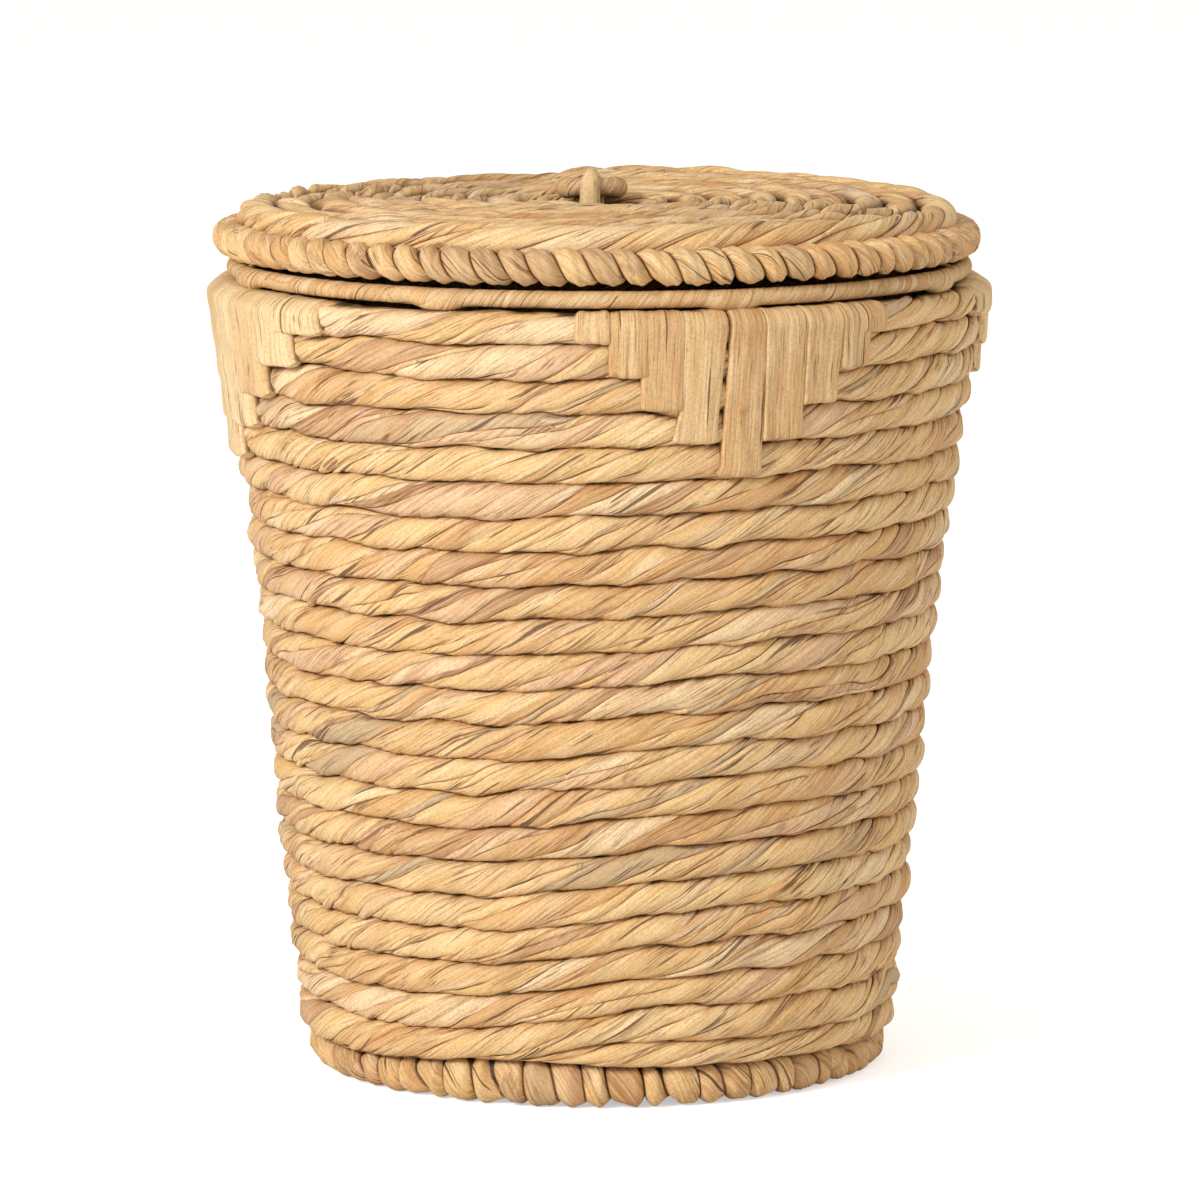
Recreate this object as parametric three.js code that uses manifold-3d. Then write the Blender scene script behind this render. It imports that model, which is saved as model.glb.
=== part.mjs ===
// Round laundry hamper of twisted water hyacinth rope on a steel wire frame, with a lift-off lid.
//
// Millimetres, +Z up. The origin is on the floor under the middle of the basket. The front is -Y.
// Twenty-two rows of thick rope are stacked on a plaited foot, round eight wire uprights that carry
// a bound wire rim. Four stepped lashings of flat leaf strip hold the top rows to the frame. The lid
// is a flat coil of the same rope on a welded wire spider, edged with a tightly twisted rope, and
// is lifted by a small bound ring that hangs in a leaf loop.
import * as THREE from "three";
import { mergeVertices } from "three/addons/utils/BufferGeometryUtils.js";
import Module from "manifold-3d";

// Driving sizes, in millimetres unless the name says otherwise

const SEAT_GAP = 0.3; // clearance left between pieces that rest on each other

const ROW_COUNT = 22; // rope rows in the wall
const ROW_HEIGHT = 19.3;
const ROW_DEPTH = 19.6; // across the rope, along a radius
const ROW_BED_WIDTH = 11; // the flat that each row presses on the next
const WALL_FOOT_RADIUS = 170.5; // outside of the wall where it starts
const WALL_MOUTH_RADIUS = 220.5; // outside of the wall at its top
const WALL_FLARE = 0.2; // 0 is a straight cone, more opens the top faster

const FOOT_INSET = 4.7; // outside of the foot, in from the outside of the wall above it
const FOOT_WIDTH = 21; // across the plait, along a radius
const FOOT_HEIGHT = 20;

const UPRIGHT_COUNT = 8;
const UPRIGHT_DIAMETER = 4;
const RING_WIRE_DIAMETER = 5; // the rings at the rim, the base and the lid
const SPOKE_DIAMETER = 4; // the crossed wires under the base and the lid

const RIM_DIAMETER = 10.4; // over the leaf binding
const RIM_INSET = 12.4; // the rim's middle, in from the outside of the wall

// The middle of each lashing, from the upright that it holds, and one strip to the next, in degrees
const LASHINGS = [
  { side: "front", turn: 0, pitch: 5.3 },
  { side: "right", turn: 0, pitch: 7.2 },
  { side: "back", turn: 0, pitch: 5.3 },
  { side: "left", turn: -9, pitch: 7.2 },
];
const LASHING_STEPS = 5; // rows held by the longest strip of a lashing
const STRIP_SIDE_GAP = 0.7; // between neighbouring strips
const STRIP_THICKNESS = 2; // where it passes under the rim and lies inside the wall
const STRIP_FACE_THICKNESS = 5.5; // outside the wall, where the leaf is laid double and bulges
const STRIP_TUCK = 2.8; // how far a strip's end reaches into the groove between two rows

const BASE_ROPE_WIDTH = 18.6;
const BASE_ROPE_HEIGHT = 18;
const BASE_EYE_RADIUS = 6; // open middle of the base's coil

const LID_EDGE_INSET = 2; // outside of the lid's twisted edge rope, in from the outside of the wall
const LID_EDGE_DIAMETER = 20.2;
const LID_ROPE_WIDTH = 19.2;
const LID_ROPE_HEIGHT = 19.6;
const LID_COIL_RISE = 13.7; // the coil's middle above the middle of the edge rope
const LID_COIL_INSET = 15; // the coil's outside, in from the outside of the edge rope
const LID_SPOKE_COUNT = 8;
const LID_HUB_RADIUS = 17;

const COIL_TURN_GAP = 0.6; // between neighbouring turns of a coil
const COIL_TIP_WIDTH = 6; // the rope's tapered outer end
const COIL_BED_SHARE = 0.36; // the flat above and below a coil's rope, as a share of its width

const PULL_TURN_DEG = -20.3; // how the pull's bar lies on the lid, from +X
const PULL_RING_RADIUS = 14.4; // to the middle of the ring's cord
const PULL_CORD_DIAMETER = 9.4;
const PULL_LOOP_WIDTH = 8.6;
const PULL_LOOP_THICKNESS = 3.2;
const PULL_LOOP_PLAY = 1.5; // between the ring's cord and each leg of the loop
const PULL_LOOP_RISE = 6.5; // top of the loop above the ring's cord

// Counts that set how finely the round shapes are cut

const RING_STEPS_PER_BAY = 3; // between one upright and the next, so that uprights meet corners
const COIL_STEP_IN = 8; // facets over which a coil steps in by one pitch, an even count
const PULL_RING_STEPS = 20;
const LOOP_BEND_STEPS = 6;
const WIRE_SIDES = 6;
const CORD_SIDES = 8; // round the foot, the lid's edge rope and the pull's cord

// Levels and radii that follow from the driving sizes

const ringSteps = RING_STEPS_PER_BAY * UPRIGHT_COUNT;
const facetShrink = Math.cos(Math.PI / ringSteps); // a facet's middle against its corners
const rowPitch = ROW_HEIGHT + SEAT_GAP;
const wallBottomZ = FOOT_HEIGHT + SEAT_GAP;
const wallTopZ = wallBottomZ + ROW_COUNT * rowPitch - SEAT_GAP;

// Outside radius of the wall, along the crests of its rows.
function wallRadius(z) {
  const share = (z - wallBottomZ) / (wallTopZ - wallBottomZ);
  const eased = share + WALL_FLARE * (share ** 3 - share);
  return WALL_FOOT_RADIUS + (WALL_MOUTH_RADIUS - WALL_FOOT_RADIUS) * eased;
}

// Inside radius of the wall, at a facet's corners and at its middle, where it is narrowest.
const wallCornerRadius = (z) => wallRadius(z) - ROW_DEPTH;
const wallInnerRadius = (z) => wallCornerRadius(z) * facetShrink;

const uprightHalf = UPRIGHT_DIAMETER / 2;
const uprightRadius = (z) => wallCornerRadius(z) - SEAT_GAP - uprightHalf;

const ringWireHalf = RING_WIRE_DIAMETER / 2;
const spokeHalf = SPOKE_DIAMETER / 2;
const rimHalf = RIM_DIAMETER / 2;
const rimRadius = wallRadius(wallTopZ) - RIM_INSET;
const rimZ = wallTopZ + SEAT_GAP + STRIP_THICKNESS + SEAT_GAP + rimHalf;

const bottomRingZ = FOOT_HEIGHT + SEAT_GAP + ringWireHalf;
const bottomRingRadius = uprightRadius(bottomRingZ) - uprightHalf - SEAT_GAP - ringWireHalf;
const baseCoilBottomZ = bottomRingZ + ringWireHalf + SEAT_GAP;
const baseSpokeZ = baseCoilBottomZ - SEAT_GAP - spokeHalf;
const baseCoilRadius = uprightRadius(baseCoilBottomZ) - uprightHalf - SEAT_GAP;

const lidEdgeHalf = LID_EDGE_DIAMETER / 2;
const lidEdgeRadius = WALL_MOUTH_RADIUS - LID_EDGE_INSET;
const lidEdgeZ = rimZ + rimHalf + SEAT_GAP + lidEdgeHalf;
const lidEdgeMiddle = lidEdgeRadius - lidEdgeHalf;
const lidCoilZ = lidEdgeZ + LID_COIL_RISE;
const lidCoilRadius = lidEdgeRadius - LID_COIL_INSET;
const lidCoilBottomZ = lidCoilZ - LID_ROPE_HEIGHT / 2;
const lidTopZ = lidCoilZ + LID_ROPE_HEIGHT / 2;
const lidRingZ = lidCoilBottomZ - SEAT_GAP - ringWireHalf;
const lidRingRadius = lidEdgeMiddle - lidEdgeHalf - SEAT_GAP - ringWireHalf;
const lidSpokeZ = lidCoilBottomZ - SEAT_GAP - spokeHalf;

const pullCordHalf = PULL_CORD_DIAMETER / 2;
const pullZ = lidTopZ + SEAT_GAP + pullCordHalf;
const loopInnerHalf = pullCordHalf + PULL_LOOP_PLAY;
const loopOuterHalf = loopInnerHalf + PULL_LOOP_THICKNESS;
const lidEyeRadius = Math.hypot(loopOuterHalf, PULL_LOOP_WIDTH / 2) + 2 * SEAT_GAP;

const radians = THREE.MathUtils.degToRad;
const frontAngle = radians(-90);

// Materials

const leaf = new THREE.MeshStandardMaterial({ color: 0xdfbc84, roughness: 0.8, metalness: 0 });
const paleLeaf = new THREE.MeshStandardMaterial({ color: 0xe3c592, roughness: 0.75, metalness: 0 });
const twistedLeaf = new THREE.MeshStandardMaterial({ color: 0xd3ab73, roughness: 0.8, metalness: 0 });
const wireSteel = new THREE.MeshStandardMaterial({ color: 0x3a3431, roughness: 0.5, metalness: 0.9 });

// Sections and surfaces

// A closed surface through sections, each a list of [x, y, z] with as many points as the others.
// A looped one joins its last section to its first, and an open one is capped at both ends.
function loft(sections, looped) {
  const around = sections[0].length;
  const index = [];
  const bands = looped ? sections.length : sections.length - 1;
  for (let band = 0; band < bands; band++) {
    const next = (band + 1) % sections.length;
    for (let k = 0; k < around; k++) {
      const after = (k + 1) % around;
      const a = band * around + k;
      const b = next * around + k;
      const c = next * around + after;
      const d = band * around + after;
      index.push(a, b, c, a, c, d);
    }
  }
  if (!looped) {
    const last = (sections.length - 1) * around;
    for (let k = 1; k < around - 1; k++) {
      index.push(0, k, k + 1);
      index.push(last, last + k + 1, last + k);
    }
  }
  const geometry = new THREE.BufferGeometry();
  geometry.setAttribute("position", new THREE.Float32BufferAttribute(sections.flat(2), 3));
  geometry.setIndex(index);
  geometry.computeVertexNormals();
  return geometry;
}

// An outline of [radius, z] points, placed in the upright plane at an angle round the axis. Outlines
// run from the outside over the top to the inside.
function placedOutline(outline, angle) {
  return outline.map(([radius, z]) => [radius * Math.cos(angle), radius * Math.sin(angle), z]);
}

function evenAngles(count, start = 0) {
  return Array.from({ length: count }, (_, k) => start + (2 * Math.PI * k) / count);
}

// How far a faceted ring reaches at an angle, as a share of its reach at its corners.
function facetReach(angle) {
  const facet = (2 * Math.PI) / ringSteps;
  const past = THREE.MathUtils.euclideanModulo(angle, facet);
  return facetShrink / Math.cos(past - facet / 2);
}

function ringOf(outline, steps = ringSteps) {
  return loft(evenAngles(steps).map((angle) => placedOutline(outline, angle)), true);
}

// A regular polygon with flats above and below, measured across its flats.
function flatsOutline(radius, z, across, sides) {
  const reach = across / 2 / Math.cos(Math.PI / sides);
  return Array.from({ length: sides }, (_, k) => {
    const turn = Math.PI / 2 - (2 * Math.PI * (k + 0.5)) / sides;
    return [radius + reach * Math.cos(turn), z + reach * Math.sin(turn)];
  }).reverse();
}

// The same with its corners on a circle, for wires and for what turns close to a surface.
function roundOutline(radius, z, diameter, sides) {
  return flatsOutline(radius, z, diameter * Math.cos(Math.PI / sides), sides);
}

// A rope pressed flat above and below, rounded to an edge at each side.
function ropeOutline(outerRadius, innerRadius, z, height, bedWidth) {
  const middle = (outerRadius + innerRadius) / 2;
  const bed = bedWidth / 2;
  const half = height / 2;
  return [
    [outerRadius, z],
    [middle + bed, z + half],
    [middle - bed, z + half],
    [innerRadius, z],
    [middle - bed, z - half],
    [middle + bed, z - half],
  ];
}

// A wire of even thickness bent along [radius, z] points in the upright plane at an angle.
function bentWire(points, diameter, angle) {
  const along = points.map(([radius, z]) => new THREE.Vector2(radius, z));
  const headings = along.slice(1).map((point, k) => point.clone().sub(along[k]).normalize());
  const sections = along.map((point, k) => {
    const into = headings[Math.max(k - 1, 0)];
    const out = headings[Math.min(k, headings.length - 1)];
    const course = into.clone().add(out).normalize();
    const mitre = 1 / course.dot(out);
    return Array.from({ length: WIRE_SIDES }, (_, side) => {
      const turn = (2 * Math.PI * side) / WIRE_SIDES;
      const across = (-diameter / 2) * Math.sin(turn);
      const lift = (diameter / 2) * mitre * Math.cos(turn);
      const radius = point.x + course.y * lift;
      return [
        radius * Math.cos(angle) - across * Math.sin(angle),
        radius * Math.sin(angle) + across * Math.cos(angle),
        point.y - course.x * lift,
      ];
    });
  });
  return loft(sections, false);
}

// A straight level wire from one radius to another.
function levelWire(from, to, z, diameter, angle) {
  const bar = new THREE.CylinderGeometry(diameter / 2, diameter / 2, to - from, WIRE_SIDES);
  bar.rotateZ(-Math.PI / 2);
  bar.translate((from + to) / 2, 0, z);
  return bar.rotateZ(angle);
}

// Joining and cutting

const wasm = await Module();
wasm.setup();

function toSolid(geometry) {
  const bare = geometry.clone();
  bare.deleteAttribute("normal");
  bare.deleteAttribute("uv");
  const merged = mergeVertices(bare, 1e-4);
  return new wasm.Manifold(
    new wasm.Mesh({
      numProp: 3,
      vertProperties: merged.attributes.position.array,
      triVerts: new Uint32Array(merged.index.array),
    }),
  );
}

function fromSolid(solid) {
  const mesh = solid.getMesh();
  const geometry = new THREE.BufferGeometry();
  geometry.setAttribute("position", new THREE.Float32BufferAttribute(mesh.vertProperties, 3));
  geometry.setIndex(new THREE.BufferAttribute(mesh.triVerts, 1));
  geometry.computeVertexNormals();
  return geometry;
}

function welded(geometries) {
  return fromSolid(geometries.map(toSolid).reduce((whole, piece) => whole.add(piece)));
}

// The assembly: a basket and a lid, with the pull turned on the lid

const hamper = new THREE.Group();
const basket = new THREE.Group();
const lid = new THREE.Group();
const pull = new THREE.Group();
pull.rotation.z = radians(PULL_TURN_DEG);
hamper.add(basket, lid, pull);

function place(group, name, geometry, material) {
  const mesh = new THREE.Mesh(geometry, material);
  mesh.name = name;
  group.add(mesh);
}

// Foot and wall rows

const footMiddle = WALL_FOOT_RADIUS - FOOT_INSET - FOOT_WIDTH / 2;
const footOutline = flatsOutline(footMiddle, FOOT_HEIGHT / 2, FOOT_HEIGHT, CORD_SIDES).map(
  ([radius, z]) => [footMiddle + ((radius - footMiddle) * FOOT_WIDTH) / FOOT_HEIGHT, z],
);
place(basket, "foot_braid", ringOf(footOutline), twistedLeaf);

function wallRow(number) {
  const middleZ = wallBottomZ + number * rowPitch + ROW_HEIGHT / 2;
  const outside = wallRadius(middleZ);
  return ringOf(ropeOutline(outside, outside - ROW_DEPTH, middleZ, ROW_HEIGHT, ROW_BED_WIDTH));
}

for (let number = 0; number < ROW_COUNT; number++) {
  const label = String(number + 1).padStart(2, "0");
  place(basket, `wall_row_${label}`, wallRow(number), leaf);
}

// Wire frame of the basket

// The uprights lean out over the top row's inner shoulder, then run straight at the rim wire.
const topRowMiddleZ = wallTopZ - ROW_HEIGHT / 2;
const topRowMiddleRadius = wallRadius(topRowMiddleZ) - ROW_DEPTH / 2;
const topBedOuter = topRowMiddleRadius + ROW_BED_WIDTH / 2;
const topBedInner = topRowMiddleRadius - ROW_BED_WIDTH / 2;
const rimCentre = new THREE.Vector2(rimRadius, rimZ);
const elbowLift = new THREE.Vector2(-1, 1).setLength(uprightHalf + 3 * SEAT_GAP);
const elbow = new THREE.Vector2(topBedInner, wallTopZ).add(elbowLift);
const uprightHeading = rimCentre.clone().sub(elbow).normalize();
const uprightTip = rimCentre.clone().addScaledVector(uprightHeading, -(ringWireHalf + SEAT_GAP));

function uprightPoints() {
  const straightEndZ = topRowMiddleZ + uprightHalf;
  const straightSteps = 4;
  const points = [];
  for (let k = 0; k <= straightSteps; k++) {
    const z = THREE.MathUtils.lerp(wallBottomZ, straightEndZ, k / straightSteps);
    points.push([uprightRadius(z), z]);
  }
  points.push([elbow.x, elbow.y], [uprightTip.x, uprightTip.y]);
  return points;
}

const uprightAngles = evenAngles(UPRIGHT_COUNT, frontAngle);
uprightAngles.forEach((angle, k) => {
  place(basket, `upright_wire_${k + 1}`, bentWire(uprightPoints(), UPRIGHT_DIAMETER, angle), wireSteel);
});

function ringWire(radius, z) {
  return ringOf(roundOutline(radius, z, RING_WIRE_DIAMETER, WIRE_SIDES));
}

place(basket, "rim_wire", ringWire(rimRadius, rimZ), wireSteel);
place(basket, "bottom_ring_wire", ringWire(bottomRingRadius, bottomRingZ), wireSteel);

// Each wire runs right across, from one upright to the opposite one, and is welded to the others
// where they cross.
const crossWires = uprightAngles.slice(UPRIGHT_COUNT / 2).map((angle) => {
  const reach = (bottomRingRadius - ringWireHalf) * facetReach(angle) - SEAT_GAP;
  return levelWire(-reach, reach, baseSpokeZ, SPOKE_DIAMETER, angle);
});
place(basket, "base_cross_wires", welded(crossWires), wireSteel);

// Rim binding: a leaf sleeve on the rim wire, slit where the uprights come in

function rimBindingOutline() {
  const outerPoints = 8;
  const innerPoints = 6;
  const slitHalf = uprightHalf + 2 * SEAT_GAP;
  const slitMiddle = uprightHeading.angle() + Math.PI;
  const bore = (ringWireHalf + SEAT_GAP) / Math.cos(Math.PI / innerPoints);
  const arc = (reach, count) => {
    const edge = Math.asin(slitHalf / reach);
    const sweep = 2 * (Math.PI - edge);
    return Array.from({ length: count }, (_, k) => {
      const turn = slitMiddle + edge + (sweep * k) / (count - 1);
      return [rimRadius + reach * Math.cos(turn), rimZ + reach * Math.sin(turn)];
    });
  };
  return [...arc(rimHalf, outerPoints), ...arc(bore, innerPoints).reverse()];
}

place(basket, "rim_binding", ringOf(rimBindingOutline()), paleLeaf);

// Coils

// A flat coil of rope, wound inwards in level turns that each step in by one pitch at the back, from
// a tapered outer end on the coil's own edge to the eye in the middle.
function ropeCoil(name, outerRadius, eyeRadius, bottomZ, width, height) {
  const pitch = width + COIL_TURN_GAP;
  const levelSteps = ringSteps - COIL_STEP_IN;
  const stepsIn = (step) => {
    const turn = Math.floor(step / ringSteps);
    const late = (step - turn * ringSteps - levelSteps) / COIL_STEP_IN;
    return turn + THREE.MathUtils.smoothstep(late, 0, 1);
  };
  const stepAngle = (2 * Math.PI) / ringSteps;
  const startAngle = frontAngle + Math.PI + (stepAngle * COIL_STEP_IN) / 2;
  const spans = [];
  for (let step = -COIL_STEP_IN; ; step++) {
    const edge = outerRadius - pitch * stepsIn(step);
    const outer = Math.min(outerRadius, edge);
    const inner = edge - width;
    if (inner < eyeRadius) break;
    if (outer - inner > COIL_TIP_WIDTH) spans.push({ angle: startAngle + stepAngle * step, outer, inner });
  }
  const sections = spans.map(({ angle, outer, inner }) => {
    const rise = height * Math.sqrt((outer - inner) / width);
    const bed = (outer - inner) * COIL_BED_SHARE;
    return placedOutline(ropeOutline(outer, inner, bottomZ + height / 2, rise, bed), angle);
  });
  const gaps = spans.slice(ringSteps).map((span, k) => (spans[k].inner - span.outer) * facetShrink);
  console.log(`${name}: least gap between turns ${Math.min(...gaps).toFixed(2)} mm`);
  return loft(sections, false);
}

place(
  basket,
  "base_coil",
  ropeCoil(
    "base_coil",
    baseCoilRadius,
    BASE_EYE_RADIUS,
    baseCoilBottomZ,
    BASE_ROPE_WIDTH,
    BASE_ROPE_HEIGHT,
  ),
  leaf,
);

// Stepped lashings

// The strip's path in the upright plane, as pairs of points: the side on the wall and the side that
// shows. It leaves the groove under its last row, climbs the outside, crosses the top row under the
// rim and goes down the inside to the same groove. backing is the radius that its inner leg lies on.
// The outside points are at the strip's edges, and half its width stands between them and its middle.
function stripPath(rows, backing, halfWidth) {
  const skin = SEAT_GAP;
  const cover = SEAT_GAP + STRIP_THICKNESS;
  const face = SEAT_GAP + STRIP_FACE_THICKNESS;
  const atEdge = (radius) => radius / Math.cos(halfWidth);
  const halfThick = STRIP_THICKNESS / 2;
  const grooveZ = wallTopZ + SEAT_GAP / 2 - rows * rowPitch;
  const lastRowZ = grooveZ + rowPitch / 2;
  const rowZs = rows > 1 ? [lastRowZ, topRowMiddleZ] : [topRowMiddleZ];
  const outerTuck = wallRadius(lastRowZ) - STRIP_TUCK;
  const innerTuck = wallInnerRadius(lastRowZ - rowPitch) + STRIP_TUCK;
  const bedInnerFacet = topBedInner * facetShrink;
  const climb = rowZs.map((z) => [
    [atEdge(wallRadius(z) + skin), z],
    [atEdge(wallRadius(z) + face), z],
  ]);
  const hem = [
    [outerTuck + STRIP_THICKNESS, grooveZ + 2 * STRIP_THICKNESS],
    [atEdge(wallRadius(lastRowZ) + face - halfThick), grooveZ + STRIP_THICKNESS],
  ];
  const descent = rowZs.toReversed().map((z) => [
    [backing(z) - skin, z],
    [backing(z) - cover, z],
  ]);
  const tuckedAt = (radius) => [
    [radius, grooveZ + halfThick],
    [radius, grooveZ - halfThick],
  ];
  return [
    tuckedAt(outerTuck),
    hem,
    ...climb,
    [[topBedOuter + skin, wallTopZ + skin], [topBedOuter + cover, wallTopZ + cover]],
    [[bedInnerFacet - skin, wallTopZ + skin], [bedInnerFacet - cover, wallTopZ + cover]],
    ...descent,
    tuckedAt(innerTuck),
  ];
}

function strip(path, from, to) {
  const sections = path.map(([skin, cover]) => [
    ...placedOutline([cover, skin], from),
    ...placedOutline([skin, cover], to),
  ]);
  return loft(sections, false);
}

// Nine strips side by side, one row longer each towards the middle, joined under the rim where the
// leaf passes from one strip to the next. The one that meets the upright lies over it inside the
// wall, and is slit where the upright leans out through it to the rim.
function lashing(uprightAngle, turn, pitch) {
  const sideGap = STRIP_SIDE_GAP / wallRadius(wallTopZ);
  const onUpright = (z) => uprightRadius(z) - uprightHalf;
  const strips = [];
  const edges = [];
  for (let offset = 1 - LASHING_STEPS; offset < LASHING_STEPS; offset++) {
    const rows = LASHING_STEPS - Math.abs(offset);
    const from = uprightAngle + turn + pitch * (offset - 0.5) + sideGap / 2;
    const to = uprightAngle + turn + pitch * (offset + 0.5) - sideGap / 2;
    const backing = from < uprightAngle && uprightAngle < to ? onUpright : wallInnerRadius;
    strips.push(strip(stripPath(rows, backing, (to - from) / 2), from, to));
    edges.push(from, to);
  }
  const lowZ = wallTopZ + SEAT_GAP;
  const highZ = lowZ + STRIP_THICKNESS / 2;
  const band = [[topBedOuter, lowZ], [topBedOuter, highZ], [topBedInner, highZ], [topBedInner, lowZ]];
  const passage = loft(edges.map((angle) => placedOutline(band, angle)), false);
  const uprightRoom = bentWire(uprightPoints(), UPRIGHT_DIAMETER + 4 * SEAT_GAP, uprightAngle);
  return fromSolid(toSolid(welded([...strips, passage])).subtract(toSolid(uprightRoom)));
}

LASHINGS.forEach(({ side, turn, pitch }, k) => {
  const angle = uprightAngles[(k * UPRIGHT_COUNT) / LASHINGS.length];
  place(basket, `lashing_${side}`, lashing(angle, radians(turn), radians(pitch)), paleLeaf);
});

// Lid

place(
  lid,
  "lid_edge_rope",
  ringOf(flatsOutline(lidEdgeMiddle, lidEdgeZ, LID_EDGE_DIAMETER, CORD_SIDES)),
  twistedLeaf,
);
place(
  lid,
  "lid_coil",
  ropeCoil(
    "lid_coil",
    lidCoilRadius,
    lidEyeRadius,
    lidCoilBottomZ,
    LID_ROPE_WIDTH,
    LID_ROPE_HEIGHT,
  ),
  leaf,
);
place(lid, "lid_ring_wire", ringWire(lidRingRadius, lidRingZ), wireSteel);

// Spokes welded to a hub ring, with a bar across the hub for the pull's loop.
function lidSpider() {
  const hubOutline = roundOutline(LID_HUB_RADIUS, lidSpokeZ, SPOKE_DIAMETER, WIRE_SIDES);
  const hub = ringOf(hubOutline, 2 * LID_SPOKE_COUNT);
  const spokes = evenAngles(LID_SPOKE_COUNT).map((angle) => {
    const reach = (lidRingRadius - ringWireHalf) * facetReach(angle) - SEAT_GAP;
    return levelWire(LID_HUB_RADIUS, reach, lidSpokeZ, SPOKE_DIAMETER, angle);
  });
  const barAngle = radians(PULL_TURN_DEG);
  const bar = levelWire(-LID_HUB_RADIUS, LID_HUB_RADIUS, lidSpokeZ, SPOKE_DIAMETER, barAngle);
  return welded([hub, bar, ...spokes]);
}

place(lid, "lid_spider", lidSpider(), wireSteel);

// Pull: a flat leaf loop round the hub's bar, and the bound ring that swings in it

// The loop is a racetrack standing across the ring's cord.
function pullLoop() {
  const highZ = pullZ + pullCordHalf + PULL_LOOP_RISE - loopOuterHalf;
  const lowZ = lidSpokeZ - spokeHalf - SEAT_GAP + loopInnerHalf;
  const half = PULL_LOOP_WIDTH / 2;
  const sections = [];
  for (const [centreZ, startTurn] of [[highZ, 0], [lowZ, Math.PI]]) {
    for (let k = 0; k <= LOOP_BEND_STEPS; k++) {
      const turn = startTurn + (Math.PI * k) / LOOP_BEND_STEPS;
      const at = (reach, x) => [x, reach * Math.cos(turn), centreZ + reach * Math.sin(turn)];
      sections.push([
        at(loopInnerHalf, -half),
        at(loopOuterHalf, -half),
        at(loopOuterHalf, half),
        at(loopInnerHalf, half),
      ]);
    }
  }
  return loft(sections, true);
}

place(pull, "pull_loop", pullLoop(), paleLeaf);

const pullRing = ringOf(
  roundOutline(PULL_RING_RADIUS, 0, PULL_CORD_DIAMETER, CORD_SIDES),
  PULL_RING_STEPS,
);
pullRing.translate(0, PULL_RING_RADIUS, pullZ);
place(pull, "pull_ring", pullRing, twistedLeaf);

export default hamper;
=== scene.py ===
"""The looks of a laundry hamper of twisted leaf rope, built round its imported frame. Metres, +Z up."""

import math
from dataclasses import dataclass

import bpy
import numpy as np
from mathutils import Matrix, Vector


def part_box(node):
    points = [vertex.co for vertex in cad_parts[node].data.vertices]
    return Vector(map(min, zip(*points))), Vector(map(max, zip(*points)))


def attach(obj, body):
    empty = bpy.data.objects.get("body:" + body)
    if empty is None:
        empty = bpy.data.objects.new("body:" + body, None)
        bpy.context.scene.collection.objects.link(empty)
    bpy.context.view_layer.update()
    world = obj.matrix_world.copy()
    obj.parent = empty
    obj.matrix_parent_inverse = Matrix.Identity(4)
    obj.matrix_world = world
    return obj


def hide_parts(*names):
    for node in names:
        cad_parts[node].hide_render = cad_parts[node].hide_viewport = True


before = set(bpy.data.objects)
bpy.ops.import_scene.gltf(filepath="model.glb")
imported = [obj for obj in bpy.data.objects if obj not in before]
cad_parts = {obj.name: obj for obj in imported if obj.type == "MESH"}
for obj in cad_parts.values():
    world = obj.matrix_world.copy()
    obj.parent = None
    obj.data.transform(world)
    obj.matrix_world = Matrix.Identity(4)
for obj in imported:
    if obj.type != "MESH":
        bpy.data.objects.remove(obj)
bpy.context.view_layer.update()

MM = 0.001
TURN = 2 * math.pi
BACK = TURN / 4  # the angle at which rings begin

# Sizes repeated from the frame's source. A lashing has its middle and the pitch of its strips, in
# degrees.

ROW_COUNT = 22
ROW_DEPTH = 19.6 * MM
LASHINGS = {"front": (-90, 5.3), "right": (0, 7.2), "back": (90, 5.3), "left": (171, 7.2)}
LASHING_STEPS = 5
RIM_RADIUS = 208.1 * MM
EDGE_ROPE_DIAMETER = 20.2 * MM
FOOT_WIDTH = 21 * MM
LID_ROPE_WIDTH = 19.2 * MM
BASE_ROPE_WIDTH = 18.6 * MM
COIL_TURN_GAP = 0.6 * MM
COIL_STEP_SHARE = 8 / 24
COIL_START = math.radians(150)
LID_EYE_RADIUS = 10.94 * MM
BASE_EYE_RADIUS = 6 * MM
PULL_TURN = math.radians(-20.3)
PULL_RING_RADIUS = 14.4 * MM
PULL_CORD_DIAMETER = 9.4 * MM

# Distance between the stations of a thick rope, of a tight twist and of a bound ring

STATION = 3.6 * MM
TWIST_STATION = 0.7 * MM
WRAP_STATION = 0.9 * MM

# Seeds. Each row and each lashing adds its own number.

WALL_SEED = 11
START_ROW_SEED = 99
ROW_SEED = 100
LID_COIL_SEED = 31
BASE_COIL_SEED = 32
EDGE_ROPE_SEED = 41
FOOT_SEED = 42
RIM_SEED = 51
PULL_RING_SEED = 61
LASHING_SEED = 70

# Camera, on the photo's side of the front

CAMERA_TURN = math.radians(20.3)
CAMERA_DISTANCE = 4.35
CAMERA_HEIGHT = 0.87
CAMERA_RIGHT = np.array([math.cos(CAMERA_TURN), -math.sin(CAMERA_TURN), 0])
CAMERA_BACK = np.array([math.sin(CAMERA_TURN), math.cos(CAMERA_TURN), 0])
CAMERA_AIM_RIGHT = 1.7 * MM
CAMERA_AIM_HEIGHT = 0.265
CAMERA_LENS = 229
CAMERA_SENSOR = 36


def ring_size(node_name):
    """(outside radius, lowest z, highest z) of a ring in the frame."""
    low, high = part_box(node_name)
    return high.x, low.z, high.z


def smooth(share):
    """0 to 1, eased at both ends."""
    share = np.clip(share, 0, 1)
    return share * share * (3 - 2 * share)


def angle_at(turn):
    """The angle of a place on a ring, from its share of the way round."""
    return BACK + TURN * turn


def turned_from(angle, middle):
    """How far an angle is past another one, or before it if below 0, by the shorter way."""
    return (angle - middle + math.pi) % TURN - math.pi


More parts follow.
